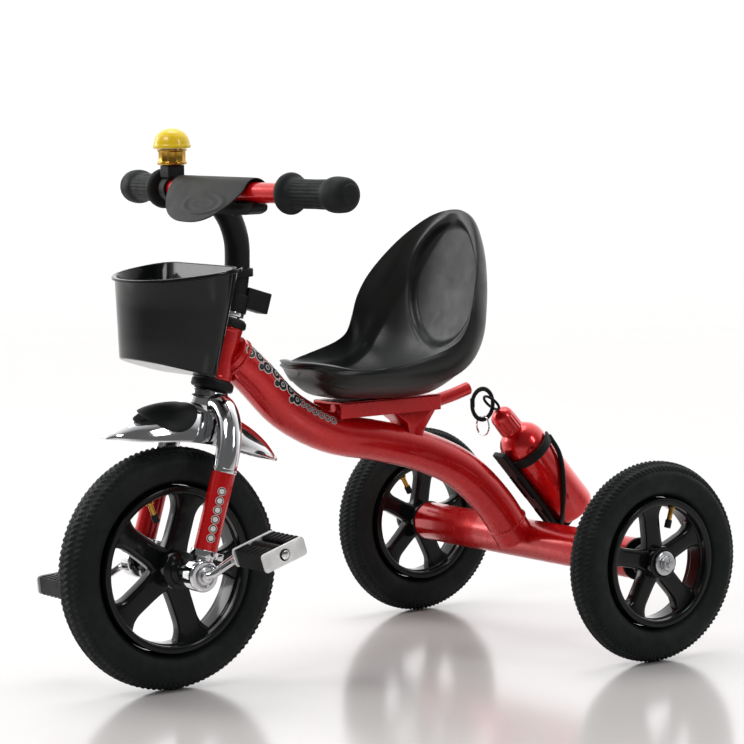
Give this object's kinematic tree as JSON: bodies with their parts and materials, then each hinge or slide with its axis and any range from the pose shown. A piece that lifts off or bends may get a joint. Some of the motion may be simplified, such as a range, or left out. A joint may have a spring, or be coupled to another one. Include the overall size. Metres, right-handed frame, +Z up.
{
  "type": "tricycle",
  "caption": "Child's tricycle with an S-shaped tube frame, pedals on the front wheel, bucket seat, front basket, bell, fender and a bottle in a cage.",
  "frame": {"origin": "on the ground, centred under the tricycle's bounding box", "axes": "-Y is the way the rider faces, +X is the rider's left, +Z is up"},
  "size_m": [0.574, 0.8386, 0.683],
  "materials": {
    "red_paint": "glossy red enamel",
    "black_paint": "satin black enamel",
    "chrome": "polished",
    "steel": "zinc plated",
    "brass": "polished",
    "black_gloss": "glossy moulded",
    "black_plastic": "fine satin moulded",
    "grip": "soft satin",
    "tyre": "matt with tread blocks",
    "yellow_plastic": "glossy",
    "bottle_red": "metallic lacquer"
  },
  "bodies": {
    "frame": {"main_tube": "red_paint", "head_tube": "red_paint", "lower_headset_cup": "black_plastic", "upper_headset_cup": "black_plastic", "lower_bearing": "steel", "upper_bearing": "steel", "axle_tube": "red_paint", "left_axle_plug": "black_plastic", "right_axle_plug": "black_plastic", "rear_axle": "steel", "left_axle_nut": "steel", "right_axle_nut": "steel", "seat_post": "red_paint", "bottle_cage": "black_plastic"},
    "fork": {"fork_crown": "chrome", "left_fork_leg": "chrome", "right_fork_leg": "chrome", "left_fork_sleeve": "red_paint", "right_fork_sleeve": "red_paint", "left_fork_bush": "steel", "right_fork_bush": "steel", "fender": "chrome", "fender_pad": "black_plastic", "stem_clamp": "black_plastic"},
    "front_wheel": {"front_tyre": "tyre", "front_wheel": "black_gloss", "front_valve": "brass", "crank_axle": "chrome"},
    "left_pedal": {"left_pedal_spool": "steel", "left_pedal_block": "black_plastic"},
    "right_pedal": {"right_pedal_spool": "steel", "right_pedal_block": "black_plastic"},
    "left_rear_wheel": {"left_rear_tyre": "tyre", "left_rear_wheel": "black_gloss", "left_rear_valve": "brass", "left_rear_bush": "steel"},
    "right_rear_wheel": {"right_rear_tyre": "tyre", "right_rear_wheel": "black_gloss", "right_rear_valve": "brass", "right_rear_bush": "steel"},
    "handlebar": {"stem": "black_paint", "handlebar": "red_paint", "left_grip": "grip", "right_grip": "grip", "bar_cover": "black_plastic", "bar_clamp": "black_plastic", "bell_bracket": "black_plastic", "bell_base": "brass", "basket": "black_gloss", "basket_strap": "black_plastic"},
    "bell": {"bell_dome": "yellow_plastic"},
    "seat": {"seat": "black_plastic", "seat_channel": "red_paint"},
    "bottle": {"bottle": "bottle_red", "bottle_cap": "bottle_red", "cap_loop": "black_plastic"},
    "clip": {"clip": "black_plastic", "split_ring": "steel"}
  },
  "joints": [
    {"name": "steering", "type": "hinge", "parent": "frame", "child": "fork", "pos_m": [0, -0.18775, 0.4084], "axis": [0, 0.3007, 0.9537], "range_deg": [-45, 45]},
    {"name": "front_wheel_spin", "type": "hinge", "parent": "fork", "child": "front_wheel", "pos_m": [0, -0.26925, 0.15], "axis": [1, 0, 0], "continuous": true},
    {"name": "left_pedal_spin", "type": "hinge", "parent": "front_wheel", "child": "left_pedal", "pos_m": [0.135, -0.21044, 0.17996], "axis": [1, 0, 0], "continuous": true},
    {"name": "right_pedal_spin", "type": "hinge", "parent": "front_wheel", "child": "right_pedal", "pos_m": [-0.135, -0.32806, 0.12004], "axis": [1, 0, 0], "continuous": true},
    {"name": "left_rear_spin", "type": "hinge", "parent": "frame", "child": "left_rear_wheel", "pos_m": [0.251, 0.29175, 0.1275], "axis": [1, 0, 0], "continuous": true},
    {"name": "right_rear_spin", "type": "hinge", "parent": "frame", "child": "right_rear_wheel", "pos_m": [-0.251, 0.29175, 0.1275], "axis": [1, 0, 0], "continuous": true},
    {"name": "handlebar_height", "type": "slide", "parent": "fork", "child": "handlebar", "axis": [0, 0.3007, 0.9537], "range_m": [0, 0.03]},
    {"name": "bell_twist", "type": "hinge", "parent": "handlebar", "child": "bell", "pos_m": [-0.118, -0.1766, 0.66], "axis": [0, 0, 1], "range_deg": [-60, 60]},
    {"name": "seat_slide", "type": "slide", "parent": "frame", "child": "seat", "axis": [0, 1, 0], "range_m": [0, 0.008]},
    {"name": "bottle_lift", "type": "slide", "parent": "frame", "child": "bottle", "axis": [0, -0.6606, 0.7507], "range_m": [0, 0.006]},
    {"name": "clip_swing", "type": "hinge", "parent": "bottle", "child": "clip", "pos_m": [0, 0.23205, 0.3136], "axis": [1, 0, 0], "range_deg": [-5, 9]}
  ]
}
